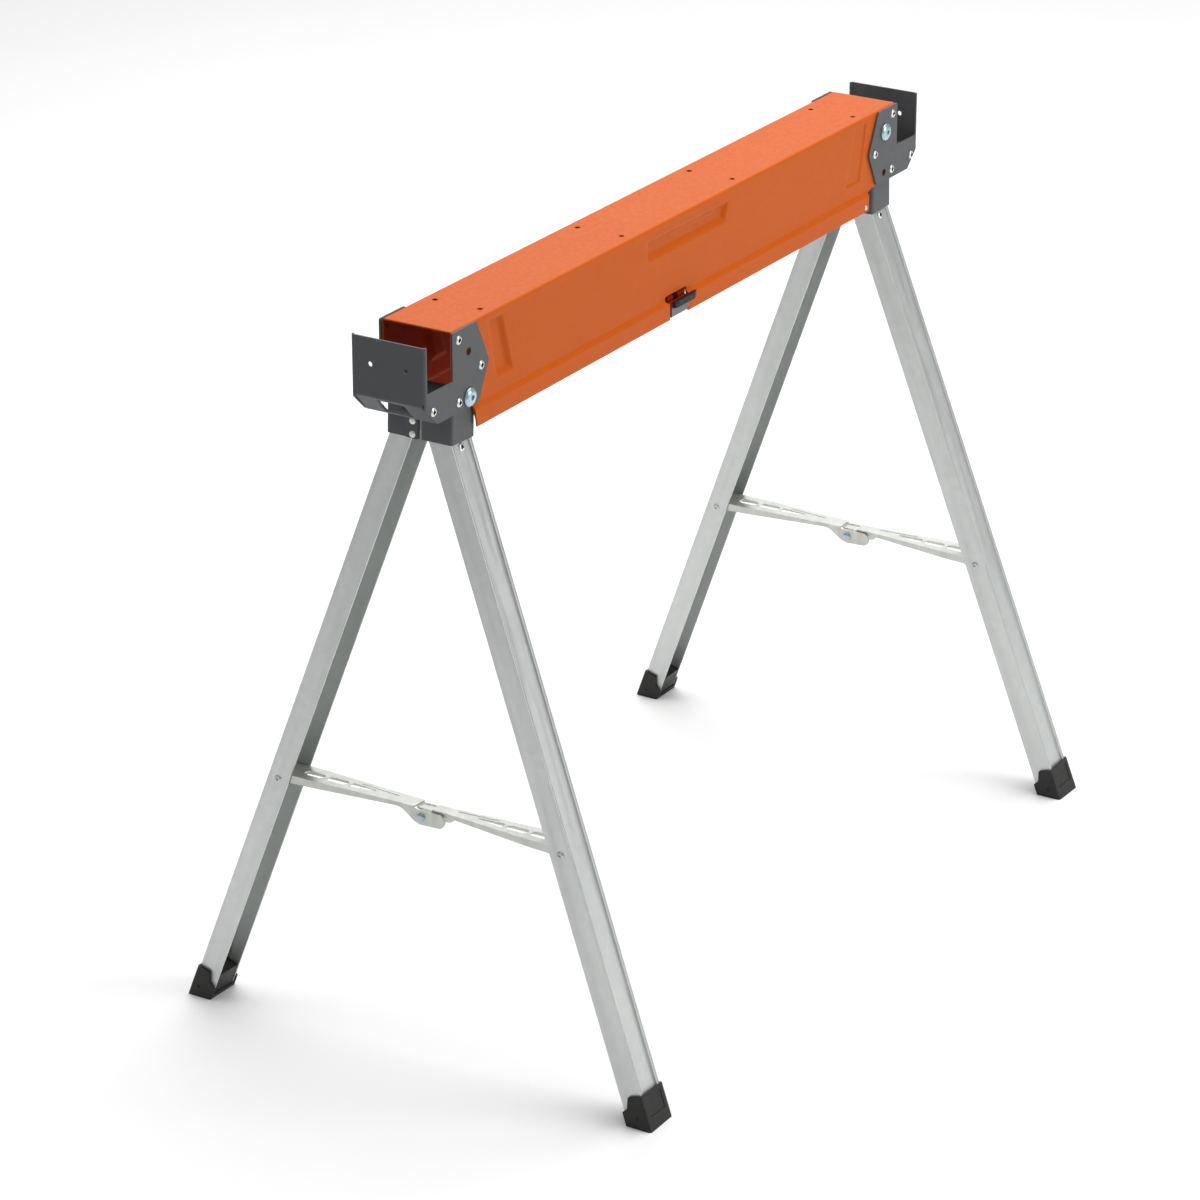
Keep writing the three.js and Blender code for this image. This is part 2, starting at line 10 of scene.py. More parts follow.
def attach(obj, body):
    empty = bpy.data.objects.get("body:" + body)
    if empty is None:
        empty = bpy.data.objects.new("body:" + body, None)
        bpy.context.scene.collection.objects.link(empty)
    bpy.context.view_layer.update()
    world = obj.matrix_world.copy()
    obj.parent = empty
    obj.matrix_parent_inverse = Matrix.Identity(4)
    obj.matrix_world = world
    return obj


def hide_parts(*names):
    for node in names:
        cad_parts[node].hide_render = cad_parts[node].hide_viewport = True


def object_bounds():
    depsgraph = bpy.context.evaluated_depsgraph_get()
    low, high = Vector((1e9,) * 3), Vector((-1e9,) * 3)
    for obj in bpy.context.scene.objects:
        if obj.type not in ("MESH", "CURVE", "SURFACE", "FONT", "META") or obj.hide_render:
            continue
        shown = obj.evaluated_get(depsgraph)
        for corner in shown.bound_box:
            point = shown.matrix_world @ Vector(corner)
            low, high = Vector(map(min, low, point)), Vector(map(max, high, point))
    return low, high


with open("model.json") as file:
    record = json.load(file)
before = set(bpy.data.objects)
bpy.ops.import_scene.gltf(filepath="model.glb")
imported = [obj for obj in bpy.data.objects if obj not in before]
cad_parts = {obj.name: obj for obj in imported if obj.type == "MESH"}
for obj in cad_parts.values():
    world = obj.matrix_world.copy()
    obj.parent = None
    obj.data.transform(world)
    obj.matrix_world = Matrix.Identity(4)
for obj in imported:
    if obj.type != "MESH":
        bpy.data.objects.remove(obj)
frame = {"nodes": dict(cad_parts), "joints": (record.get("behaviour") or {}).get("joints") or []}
CAD_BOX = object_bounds()
MM = 0.001
ENDS = (("left", -1), ("right", 1))
SIDES = (("near", -1), ("far", 1))
JOINTS = {j["name"]: j for j in frame["joints"]}

# ---- driving dimensions, millimetres ----
# x runs along the beam from its middle, y across it, and z up from the floor.
TOP = CAD_BOX[1].z / MM
SEGMENTS = 40

# The beam is a channel that is open below, with a lip standing out from each side.
BEAM = {"half": 460, "y": 41.3, "lip": 44.6, "bottom": 700.6, "ledge_low": 718.5, "ledge_high": 723.5,
        "side_low": 727, "side_top": 806.6, "sheet": 1.6, "radius": 4.5, "lip_cut": 725}
# The foot and the head of the slanted cut that ends the lips, as (x, z).
LIP_ENDS = {"left": ((419.6, 698), (423.5, 725)), "right": ((397, 721.6), (414.8, 724.6))}
LIP_RIVET = (389.8, 705.7)
RECESS = {"depth": 4.2, "slope": 9}
RIGHT_RECESS = {"depth": 1.3, "slope": 3.2}
END_RECESS = {"low_z": 739, "high_z": 806, "low_x": (346, 380), "high_x": (366, 394)}
MID_RECESS = {"low_z": 775, "high_z": 800, "low_x": (-86.5, 76), "high_x": (-86.5, 85)}
SCREW_HOLE = {"xs": (115, 386), "y": 27, "radius": 3.1}
# The latch works in a notch of the near side, which has a small step at its left.
NOTCH = {"x": (-43.8, -5.4), "z": (690, 727.4), "step_x": -49.5, "step_z": (719, 721), "inner_y": -37.3}

BRACKET = {"inner": 41.7, "outer": 43.8, "slot_start": 462, "slot_end": 507.4, "slot_floor": 761,
           "plate": 511.9, "sheet": 2.4, "top": 810.6, "bend_z": 748.5, "foot_x": 489.5, "bottom": 725.5,
           "bend_radius": 3.6}
PLATE_HOLE = {"y": 21, "z": 783, "radius": 2.8}
FLANGE_SLOT = {"half": 13, "radius": 3.6}
CHEEK_RIVETS = ((451, 801.5), (410.5, 763.3), (451, 735.7), (497.4, 740.4))
PIVOT_HOLE = 4.4
RIVET_HOLE = {"beam": 2.8, "bracket": 2.7, "leg": 2.5}
# The height of the second bolt hole of each near cheek, which stays empty.
EMPTY_HOLE = {"left": 784.5, "right": 736.2}

# A hub, its leg pins and its straps are measured in the leaning plane of their legs.
HUB = {"x": 21, "y": 39.3, "inner": {"near": 3.4, "far": 0.2}, "sheet": 1.8, "low": 2, "high": 38, "ear": 21,
       "radius": 3.2, "strap": 1.5}
STRAP = {"y": (0.8, 15.8), "z": (2, 31), "rivets": ((6.8, 20.5), (6.8, 6.5))}
PIN_Y = 20
PIN_Z = 27
LEG_PIN = {"radius": 3.0, "hole": 3.3}

# A leg, its stop rivet and its foot are measured from the leg's pin, with z up the leg.
LEG = {"x": 18.75, "depth": 25.4, "sheet": 1.6, "web": 7.2, "strip": 4.9, "slope": 0.35, "recess": 2.4,
       "crease": 2.3, "crease_half": 0.7, "crease_depth": 1.2, "above": 9, "below": 750, "radius": 1.6}
STOP_RIVET_Z = -35.7
BRACE_PIN = {"radius": 3.0, "hole": 3.2}
FOOT = {"x": 22.3, "proud": 1.9, "depth": 28.4, "tall": -727, "low": -741.5, "wall": 3.2, "length": 790}

# A link is measured from its pin in the leg, with y towards the knuckle.
LINK = {"sheet": 1.5, "top": 6.4, "wide": 16.3, "narrow": {"near": 7.6, "far": 10.4}, "taper": (36, 150),
        "flange_leg": 8.8, "flange_mid": 4.2, "web": {"near": 164, "far": 166}, "ear": 8.5,
        "tail": {"near": 0, "far": 23}}
LINK_SLOTS = ((22, 47), (50.5, 77), (80, 111))
SLIVER = (104, 138)
KNUCKLE_DROP = 4.1
KNUCKLE = {"radius": 2.0, "hole": 2.1}

CATCH = {"x": (-41.4, -6.0), "low": 702.4, "high": 719, "outer": -45.2, "bend_y": -31.5, "shelf_y": -24,
         "shelf_z": 711.3, "barrel": 3.8, "bore": 2.3}
PADDLE = {"x": (-40.8, 7.0), "low": 714, "high": 720.8, "outer": -50.5}


# ---- meshes ----
def arc_corner(before, corner, after, radius, steps=5):
    """Points that round one corner of an outline."""
    a, c, b = Vector(before), Vector(corner), Vector(after)
    u, v = (a - c).normalized(), (b - c).normalized()
    angle = u.angle(v)
    if radius <= 0 or angle > math.pi - 0.02:
        return [tuple(c)]
    reach = min(radius / math.tan(angle / 2), 0.49 * min((a - c).length, (b - c).length))
    r = reach * math.tan(angle / 2)
    centre = c + (u + v).normalized() * (r / math.sin(angle / 2))
    start, end = c + u * reach - centre, c + v * reach - centre
    turn = start.angle_signed(end)
    points = []
    for i in range(steps + 1):
        t = -turn * i / steps
        points.append((centre.x + start.x * math.cos(t) - start.y * math.sin(t),
                       centre.y + start.x * math.sin(t) + start.y * math.cos(t)))
    return points


def rounded(points, radius, steps=5, closed=True):
    """An outline with its corners rounded: radius is one number, or one for each corner."""
    radii = radius if hasattr(radius, "__len__") else [radius] * len(points)
    out = []
    for i, p in enumerate(points):
        if not closed and i in (0, len(points) - 1):
            out.append(tuple(p))
            continue
        out += arc_corner(points[i - 1], p, points[(i + 1) % len(points)], radii[i], steps)
    return out


def sheet_outline(path, thickness):
    """A closed outline of a bent sheet: path is the sheet's left face, and the sheet lies to its right."""
    other = []
    for i, p in enumerate(path):
        a = Vector(path[max(i - 1, 0)])
        b = Vector(path[min(i + 1, len(path) - 1)])
        p = Vector(p)
        before, after = (p - a), (b - p)
        if before.length < 1e-6:
            before = after
        if after.length < 1e-6:
            after = before
        n0 = Vector((before.y, -before.x)).normalized()
        n1 = Vector((after.y, -after.x)).normalized()
        n = (n0 + n1).normalized()
        other.append(tuple(p + n * (thickness / max(n.dot(n0), 0.3))))
    return list(path) + other[::-1]


def capsule(a, b, radius, steps=8):
    """The outline of a slot with round ends, from a to b."""
    a, b = Vector(a), Vector(b)
    start = math.atan2((b - a).y, (b - a).x)
    points = []
    for centre, turn in ((b, start - math.pi / 2), (a, start + math.pi / 2)):
        for i in range(steps + 1):
            t = turn + math.pi * i / steps
            points.append((centre.x + radius * math.cos(t), centre.y + radius * math.sin(t)))
    return points


def circle(x, y, radius, steps=SEGMENTS):
    turns = [2 * math.pi * i / steps for i in range(steps)]
    return [(x + radius * math.cos(t), y + radius * math.sin(t)) for t in turns]


def solid(verts, faces):
    """A temporary object with those vertices and faces, its faces turned outwards."""
    mesh = bpy.data.meshes.new("part")
    mesh.from_pydata([tuple(v) for v in verts], [], faces)
    bm = bmesh.new()
    bm.from_mesh(mesh)
    bmesh.ops.remove_doubles(bm, verts=bm.verts, dist=1e-5)
    bmesh.ops.recalc_face_normals(bm, faces=bm.faces)
    bm.to_mesh(mesh)
    bm.free()
    obj = bpy.data.objects.new("part", mesh)
    bpy.context.scene.collection.objects.link(obj)
    return obj


PLACE = {"x": lambda a, b, t: (t, a, b), "y": lambda a, b, t: (a, t, b), "z": lambda a, b, t: (a, b, t)}


def prism(outline, axis, low, high):
    """An outline drawn out from low to high along an axis."""
    place, n = PLACE[axis], len(outline)
    verts = [place(a, b, t) for t in (low, high) for a, b in outline]
    faces = [list(range(n)), list(range(n, 2 * n))[::-1]]
    faces += [[i, (i + 1) % n, n + (i + 1) % n, n + i] for i in range(n)]
    return solid(verts, faces)


def box(x0, x1, y0, y1, z0, z1):
    return prism([(x0, y0), (x1, y0), (x1, y1), (x0, y1)], "z", z0, z1)


def rod(axis, radius, low, high, a, b, steps=SEGMENTS):
    return prism(circle(a, b, radius, steps), axis, low, high)


def lathe(profile, steps=SEGMENTS):
    """A closed profile of (radius, height) turned about Z. It starts and ends on the axis."""
    verts, rings = [], []
    for r, z in profile:
        if r < 1e-6:
            rings.append([len(verts)] * steps)
            verts.append((0, 0, z))
            continue
        rings.append(list(range(len(verts), len(verts) + steps)))
        turns = [2 * math.pi * i / steps for i in range(steps)]
        verts += [(r * math.cos(t), r * math.sin(t), z) for t in turns]
    faces = []
    for low, high in zip(rings, rings[1:]):
        for i in range(steps):
            j = (i + 1) % steps
            face = [low[i], low[j], high[j], high[i]]
            faces.append(list(dict.fromkeys(face)))
    return solid(verts, [f for f in faces if len(f) > 2])


def moved(obj, matrix):
    obj.data.transform(matrix)
    if matrix.determinant() < 0:
        obj.data.flip_normals()
    return obj


def combine(base, tools, operation="DIFFERENCE"):
    """base with each tool cut away, added or kept. The tools are used up."""
    for tool in tools:
        m = base.modifiers.new("cut", "BOOLEAN")
        m.operation = operation
        m.solver = "MANIFOLD"
        m.object = tool
    graph = bpy.context.evaluated_depsgraph_get()
    mesh = bpy.data.meshes.new_from_object(base.evaluated_get(graph))
    base.modifiers.clear()
    base.data = mesh
    for tool in tools:
        bpy.data.objects.remove(tool)
    return base


def add(base, *tools):
    return combine(base, tools, "UNION")


def cut(base, *tools):
    return combine(base, tools, "DIFFERENCE")


def keep(base, *tools):
    return combine(base, tools, "INTERSECT")


def soften(obj, width, segments):
    """Rounds the sharp edges, with flat faces kept flat in the shading."""
    if width:
        m = obj.modifiers.new("edges", "BEVEL")
        m.width = width * MM
        m.segments = segments
        m.limit_method = "ANGLE"
        m.angle_limit = math.radians(28)
        m.use_clamp_overlap = True
        m.miter_outer = "MITER_ARC"
    obj.data.shade_smooth()
    obj.data.set_sharp_from_angle(angle=math.radians(34))
    n = obj.modifiers.new("normals", "WEIGHTED_NORMAL")
    n.keep_sharp = True
    n.weight = 80


def piece(name, obj, body, slot, replaces=(), at=None, edge=0.35, segments=2, flip=False, looks=None,
          turned=False):
    """Names a finished solid, puts it in its place, gives it its body and the material of its slot (or of
    looks, when given), and hides the CAD parts it replaces.

    A turned piece has its mesh put in place rather than the object, so that its box is the true one.
    """
    if flip:
        moved(obj, Matrix.Scale(-1, 4, (0, 1, 0)))
    obj.data.transform(Matrix.Scale(MM, 4))
    obj.name = name
    obj.data.name = name
    if turned:
        obj.data.transform(at)
    elif at is not None:
        obj.matrix_world = at
    soften(obj, edge, segments)
    obj.data.materials.clear()
    obj.data.materials.append(MATERIALS[looks or slot])
    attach(obj, body)
    if replaces:
        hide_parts(*replaces)
    return obj


# ---- materials ----
def srgb(r, g, b):
    def linear(c):
        c /= 255
        return c / 12.92 if c <= 0.04045 else ((c + 0.055) / 1.055) ** 2.4
    return (linear(r), linear(g), linear(b), 1)


class Looks:
    """A principled material with noise for its colour, roughness and bump.

    Colours are given as (red, green, blue), each up to 255.
    """

    def __init__(self, name, color, roughness, metallic=0.0, specular=0.5):
        self.material = bpy.data.materials.new(name)
        self.material.use_nodes = True
        self.nodes = self.material.node_tree.nodes
        self.links = self.material.node_tree.links
        self.shader = self.nodes["Principled BSDF"]
        self.color, self.height = srgb(*color), None
        self.shader.inputs["Base Color"].default_value = self.color
        self.shader.inputs["Roughness"].default_value = roughness
        self.shader.inputs["Metallic"].default_value = metallic
        self.shader.inputs["Specular IOR Level"].default_value = specular
        self.where = self.nodes.new("ShaderNodeTexCoord").outputs["Object"]

    def noise(self, scale, detail=3.0, stretch=(1, 1, 1)):
        mapping = self.nodes.new("ShaderNodeMapping")
        mapping.inputs["Scale"].default_value = stretch
        self.links.new(self.where, mapping.inputs["Vector"])
        texture = self.nodes.new("ShaderNodeTexNoise")
        texture.inputs["Scale"].default_value = scale
        texture.inputs["Detail"].default_value = detail
        self.links.new(mapping.outputs["Vector"], texture.inputs["Vector"])
        return texture.outputs["Fac"]

    def cells(self, scale):
        texture = self.nodes.new("ShaderNodeTexVoronoi")
        texture.inputs["Scale"].default_value = scale
        self.links.new(self.where, texture.inputs["Vector"])
        split = self.nodes.new("ShaderNodeSeparateColor")
        self.links.new(texture.outputs["Color"], split.inputs["Color"])
        return split.outputs["Red"]

    def ramp(self, source, low, high, start=0.0, end=1.0):
        """source as a value from low to high."""
        mapped = self.nodes.new("ShaderNodeMapRange")
        mapped.inputs["From Min"].default_value = start
        mapped.inputs["From Max"].default_value = end
        mapped.inputs["To Min"].default_value = low
        mapped.inputs["To Max"].default_value = high
        self.links.new(source, mapped.inputs["Value"])
        return mapped.outputs["Result"]

    def tint(self, source, other, amount, start=0.3, end=0.7):
        """Mixes another colour in, by source, on top of the colour so far."""
        mix = self.nodes.new("ShaderNodeMix")
        mix.data_type = "RGBA"
        self.links.new(self.ramp(source, 0, amount, start, end), mix.inputs[0])
        socket = self.shader.inputs["Base Color"]
        if socket.is_linked:
            self.links.new(socket.links[0].from_socket, mix.inputs[6])
        else:
            mix.inputs[6].default_value = self.color
        mix.inputs[7].default_value = srgb(*other)
        self.links.new(mix.outputs[2], socket)

    def rough(self, source, low, high, start=0.3, end=0.7):
        self.links.new(self.ramp(source, low, high, start, end), self.shader.inputs["Roughness"])

    def bump(self, source, depth, strength=1.0):
        """depth is in millimetres."""
        node = self.nodes.new("ShaderNodeBump")
        node.inputs["Distance"].default_value = depth * MM
        node.inputs["Strength"].default_value = strength
        self.links.new(source, node.inputs["Height"])
        if self.height is not None:
            self.links.new(self.height, node.inputs["Normal"])
        self.height = node.outputs["Normal"]
        self.links.new(self.height, self.shader.inputs["Normal"])


METALLIC = 0.75
ALONG = (1, 1, 0.06)


def powder_coat(name, color, light, dark, roughness, specular=0.1):
    looks = Looks(name, color, roughness, specular=specular)
    looks.tint(looks.noise(7, 2), light, 0.25)
    looks.tint(looks.noise(55, 4), dark, 0.16, 0.45, 0.8)
    looks.rough(looks.noise(180, 3), roughness - 0.05, roughness + 0.08)
    looks.bump(looks.noise(850, 2), 0.05, 0.55)
    looks.bump(looks.noise(260, 2), 0.05, 0.35)
    return looks.material


def galvanised(name, color, light, dark, roughness):
    looks = Looks(name, color, roughness, METALLIC)
    looks.tint(looks.cells(95), light, 0.35, 0.2, 1.0)
    looks.tint(looks.noise(60, 5, ALONG), dark, 0.4, 0.45, 0.85)
    looks.tint(looks.noise(6, 3), dark, 0.22, 0.45, 0.8)
    looks.rough(looks.noise(140, 4, ALONG), roughness - 0.08, roughness + 0.12)
    looks.bump(looks.noise(420, 3, ALONG), 0.02, 0.5)
    looks.bump(looks.cells(95), 0.01, 0.4)
    return looks.material


def bright_metal(name, color, dark, roughness):
    looks = Looks(name, color, roughness, METALLIC)
    looks.tint(looks.noise(500, 4), dark, 0.35, 0.4, 0.8)
    looks.rough(looks.noise(700, 3), roughness - 0.06, roughness + 0.14)
    looks.bump(looks.noise(900, 2), 0.01, 0.5)
    return looks.material


def moulded(name, color, light, roughness):
    looks = Looks(name, color, roughness, specular=0.3)
    looks.tint(looks.noise(30, 4), light, 0.35, 0.4, 0.8)
    looks.rough(looks.noise(300, 3), roughness - 0.08, roughness + 0.1)
    looks.bump(looks.noise(1400, 3), 0.05, 0.6)
    return looks.material


MATERIALS = {
    "beam_paint": powder_coat("orange_powder_coat", (191, 85, 13), (197, 92, 17), (181, 76, 11), 0.4),
    # painted shade: a darker, duller red standing in for the shade inside the beam's channel, used on its
    # inner faces and on the catch's hidden back
    "painted_shade_red": powder_coat("painted_shade_red_coat", (140, 38, 8), (154, 46, 10), (112, 28, 6), 0.6, 0.03),
    "bracket_paint": powder_coat("grey_powder_coat", (90, 92, 94), (97, 99, 101), (80, 82, 84), 0.42),
    "galvanised_steel": galvanised("galvanised_steel", (203, 206, 204), (214, 217, 215), (178, 182, 181),
                                   0.4),
    "pressed_links": galvanised("pressed_galvanised", (206, 208, 203), (220, 222, 217), (168, 171, 167),
                                0.42),
    "zinc_bolt": bright_metal("blue_zinc", (176, 200, 208), (130, 150, 160), 0.26),
    "bright_rivet": bright_metal("bright_nickel", (226, 225, 220), (186, 184, 178), 0.24),
    "latch_steel": powder_coat("latch_grey", (122, 125, 124), (132, 134, 133), (108, 110, 110), 0.45),
    "foot_plastic": moulded("black_moulded_plastic", (36, 35, 34), (44, 43, 42), 0.5),
    "latch_plastic": moulded("paddle_plastic", (22, 22, 23), (30, 30, 31), 0.5),
    # painted shade: near black standing in for the shade in the blind rivets' hollow middles and round the
    # latch's pin, guide and spring
    "dark": moulded("painted_shade_core", (34, 32, 30), (44, 42, 40), 0.6),
}


# ---- beam ----
def rows_of_side():
    """Heights along the beam's side, close together where a recess slopes."""
    steps = 60
    low, high = END_RECESS["low_z"] - 1, BEAM["side_top"] - 0.2
    return [732, 735.5] + [low + (high - low) * i / steps for i in range(steps + 1)]


def beam_section():
    """The outer face from the lip's edge on the +Y side over the top to the other lip."""
    b = BEAM
    lip = rounded([(b["lip"], b["bottom"]), (b["lip"], b["bottom"] + 9), (b["lip"], b["ledge_low"]),
                   (b["y"], b["ledge_high"]), (b["y"], b["side_low"])], [0, 0, 1.2, 1.6, 0], 4, closed=False)
    side = [(b["y"], z) for z in rows_of_side()]
    corner = rounded([(b["y"], b["side_top"]), (b["y"], TOP), (30, TOP)], [0, b["radius"], 0], 7,
                     closed=False)
    half = lip + side + corner[:-1] + [(y, TOP) for y in (33, 29, 25, 20, 10)]
    return half + [(0, TOP)] + [(-y, z) for y, z in reversed(half)]


def beam_columns():
    """Places along the beam as (x at the recesses' foot, x at their head), following their slanted ends.

    Each knot is a place, with the number of steps that lead to it. The upright ones keep the mesh even.
    """
    e, m = END_RECESS, MID_RECESS
    start, end = (e["low_x"][0], e["high_x"][0]), (e["low_x"][1], e["high_x"][1])
    mid_start, mid_end = (m["low_x"][0], m["high_x"][0]), (m["low_x"][1], m["high_x"][1])
    edge, right_edge = RECESS["slope"] + 0.4, RIGHT_RECESS["slope"] + 0.4

    def upright(x):
        return (x, x)

    def beside(place, by):
        return (place[0] + by, place[1] + by)

    def mirrored(place):
        return (-place[0], -place[1])

    knots = [(upright(-BEAM["half"]), 1), (upright(-446), 3), (upright(-430), 3),
             (mirrored(end), 6), (mirrored(beside(end, -edge)), 5),
             (mirrored(beside(start, edge)), 6), (mirrored(start), 5),
             (upright(-300), 6), (upright(-120), 12),
             (mid_start, 4), (beside(mid_start, edge), 5), (beside(mid_end, -edge), 14), (mid_end, 5),
             (upright(125), 5), (upright(300), 12),
             (start, 6), (beside(start, right_edge), 5), (beside(end, -right_edge), 6), (end, 5),
             (upright(430), 6), (upright(446), 3), (upright(BEAM["half"]), 3)]
    columns = [knots[0][0]]
    for (before, _), (after, steps) in zip(knots, knots[1:]):
        columns += [tuple(a + (b - a) * (i + 1) / steps for a, b in zip(before, after)) for i in range(steps)]
    return columns


def smooth(t):
    t = min(max(t, 0.0), 1.0)
    return t * t * (3 - 2 * t)


def recess_depth(x, z, inner):
    """How far the side is pressed in at (x, z).

    The folded hub lies inside the right recess, so the sheet's inner face stays flat there.
    """
    deepest = 0.0
    mirrored = {**END_RECESS, "low_x": tuple(-v for v in END_RECESS["low_x"][::-1]),
                "high_x": tuple(-v for v in END_RECESS["high_x"][::-1])}
    for r, form in ((END_RECESS, RIGHT_RECESS), (mirrored, RECESS), (MID_RECESS, RECESS)):
        if not r["low_z"] <= z <= r["high_z"] or (inner and form is RIGHT_RECESS):
            continue
        t = (z - r["low_z"]) / (r["high_z"] - r["low_z"])
        left = r["low_x"][0] + (r["high_x"][0] - r["low_x"][0]) * t
        right = r["low_x"][1] + (r["high_x"][1] - r["low_x"][1]) * t
        inside = min(x - left, right - x, z - r["low_z"], r["high_z"] - z)
        deepest = max(deepest, form["depth"] * smooth(inside / form["slope"]))
    return deepest


def column_x(column, z):
    """The column's x at a height. It slants only between the foot and the head of the recess it is near."""
    t = (z - END_RECESS["low_z"]) / (END_RECESS["high_z"] - END_RECESS["low_z"])
    if abs(column[0]) < 200:
        t = (z - MID_RECESS["low_z"]) / (MID_RECESS["high_z"] - MID_RECESS["low_z"])
    return column[0] + (column[1] - column[0]) * min(max(t, 0), 1)


def beam_channel():
    """The bare channel: its outer and inner faces, joined along the lips and at both ends."""
    outer = beam_section()
    inner = sheet_outline(outer[::-1], BEAM["sheet"])[len(outer):]
    columns = beam_columns()
    n = len(outer)
    verts = []
    for section in (outer, inner):
        for column in columns:
            for (y, z), (_, z_outer) in zip(section, outer):
                x = column_x(column, z_outer)
                verts.append((x, y - math.copysign(recess_depth(x, z_outer, section is inner), y), z))
    shift = len(columns) * n
    faces = []
    for i in range(len(columns) - 1):
        for j in range(n - 1):
            a, b = i * n + j, (i + 1) * n + j
            faces += [[a, a + 1, b + 1, b], [shift + a, shift + b, shift + b + 1, shift + a + 1]]
        for j in (0, n - 1):
            a, b = i * n + j, (i + 1) * n + j
            faces.append([a, b, shift + b, shift + a])
    for i in (0, len(columns) - 1):
        for j in range(n - 1):
            a = i * n + j
            faces.append([a, a + 1, shift + a + 1, shift + a])
    return solid(verts, faces)


def beam_cuts():
    """What is cut from the channel: the ends of its lips, its holes and the latch's notch."""
    wide, tools = 60, []
    past, under = BEAM["half"] + 2, BEAM["bottom"] - 4
    for name, end in ENDS:
        foot, head = LIP_ENDS[name]
        lip_end = [(foot[0], under), foot, head, (past, BEAM["lip_cut"]), (past, under)]
        tools.append(prism([(end * x, z) for x, z in lip_end], "y", -wide, wide))
        pivot = JOINTS[f"{name}_stow"]["pos_m"]
        tools.append(rod("y", PIVOT_HOLE, -wide, wide, pivot[0] / MM, pivot[2] / MM, 24))
        tools.append(rod("y", PIVOT_HOLE, -wide, 0, pivot[0] / MM, EMPTY_HOLE[name], 24))
        for x, z in CHEEK_RIVETS[:3]:
            tools.append(rod("y", RIVET_HOLE["beam"], -wide, wide, end * x, z, 16))
        for x in SCREW_HOLE["xs"]:
            for y in (-SCREW_HOLE["y"], SCREW_HOLE["y"]):
                tools.append(rod("z", SCREW_HOLE["radius"], TOP - 8, TOP + 2, end * x, y, 24))
    (left, right), (low, high), (step_low, step_high) = NOTCH["x"], NOTCH["z"], NOTCH["step_z"]
    notch = rounded([(left, low), (right, low), (right, high), (NOTCH["step_x"], high),
                     (NOTCH["step_x"], step_high), (left, step_low)], [0, 0, 1.5, 2.5, 2, 1], 4)
    tools.append(prism(notch, "y", -wide, NOTCH["inner_y"]))
    return tools


def make_beam():
    beam = cut(beam_channel(), *beam_cuts())
    shell = piece("beam_channel_shell", beam, "beam", "beam_paint", ["beam_channel"], edge=0)
    # The inner faces and the underside of the top take the painted-shade red, for the shade inside the
    # channel.
    shell.data.materials.append(MATERIALS["painted_shade_red"])
    ceiling = (TOP - 4) * MM
    for face in shell.data.polygons:
        inward = face.normal.y * face.center.y < -0.3 * abs(face.center.y)
        if inward or (face.normal.z < -0.5 and face.center.z > ceiling):
            face.material_index = 1


# ---- end brackets: drawn at the right end ----
def bracket_flange():
    """The slotted sheet that slants inwards from the foot of the end plate."""
    b, far = BRACKET, BRACKET["plate"]
    path = rounded([(far, b["bend_z"] + 12), (far, b["bend_z"]), (b["foot_x"], b["bottom"])], [0, 3.4, 0], 6,
                   closed=False)
    flange = prism(sheet_outline(path, b["sheet"]), "y", -b["outer"] + 3.0, b["outer"] - 3.0)
    half = FLANGE_SLOT["half"]
    slot = prism(capsule((0, -half), (0, half), FLANGE_SLOT["radius"]), "z", -12, 12)
    middle = ((far + b["foot_x"]) / 2 - 1, 0, (b["bend_z"] + b["bottom"]) / 2 - 0.4)
    moved(slot, Matrix.Translation(middle) @ Matrix.Rotation(math.radians(45), 4, "Y"))
    return cut(flange, slot)


def bracket_holes(name):
    """The holes of the end plate and of the cheeks, for the bolt and the rivets."""
    far = BRACKET["plate"]
    holes = [rod("x", PLATE_HOLE["radius"], far - 10, far + 5, s * PLATE_HOLE["y"], PLATE_HOLE["z"], 24)
             for s in (-1, 1)]
    pivot = JOINTS[f"{name}_stow"]["pos_m"]
    holes.append(rod("y", PIVOT_HOLE, -50, 50, abs(pivot[0]) / MM, pivot[2] / MM, 24))
    holes.append(rod("y", PIVOT_HOLE, -50, 0, abs(pivot[0]) / MM, EMPTY_HOLE[name], 24))
    return holes + [rod("y", RIVET_HOLE["bracket"], -50, 50, x, z, 16) for x, z in CHEEK_RIVETS]


def make_bracket(name, end):
    b, far = BRACKET, BRACKET["plate"]
    wall = rounded([(390, -b["outer"]), (far, -b["outer"]), (far, b["outer"]), (390, b["outer"])],
                   [0, b["bend_radius"], b["bend_radius"], 0], 7, closed=False)
    wrap = prism(sheet_outline(wall[::-1], b["outer"] - b["inner"]), "z", b["bottom"] - 5, TOP + 5)
    silhouette = rounded([(418, TOP - 0.4), (396, 765), (416, b["bottom"]), (b["foot_x"], b["bottom"]),
                          (far + 1, b["bend_z"] - 1), (far + 1, b["top"]), (b["slot_end"], b["top"]),
                          (b["slot_end"], b["slot_floor"]), (b["slot_start"], b["slot_floor"]),
                          (b["slot_start"], TOP - 0.4)], [1.5, 6, 3, 3, 0, 0, 0.5, 2.0, 2.0, 1.5], 5)
    bracket = keep(wrap, prism(silhouette, "y", -50, 50))
    cut(bracket, box(far - 3.2, far + 3, -b["outer"] + 3.4, b["outer"] - 3.4, 700, b["bend_z"] + 4))
    relief = [rod("x", 1.5, far - 6, far + 3, s * (b["outer"] - 2.6), b["bend_z"] + 1.4, 16) for s in (-1, 1)]
    cut(bracket, *relief)
    add(bracket, bracket_flange())
    cut(bracket, *bracket_holes(name))
    if end < 0:
        moved(bracket, Matrix.Scale(-1, 4, (1, 0, 0)))
    piece(f"end_bracket_{name}_sheet", bracket, "beam", "bracket_paint", [f"end_bracket_{name}"], edge=0.45)


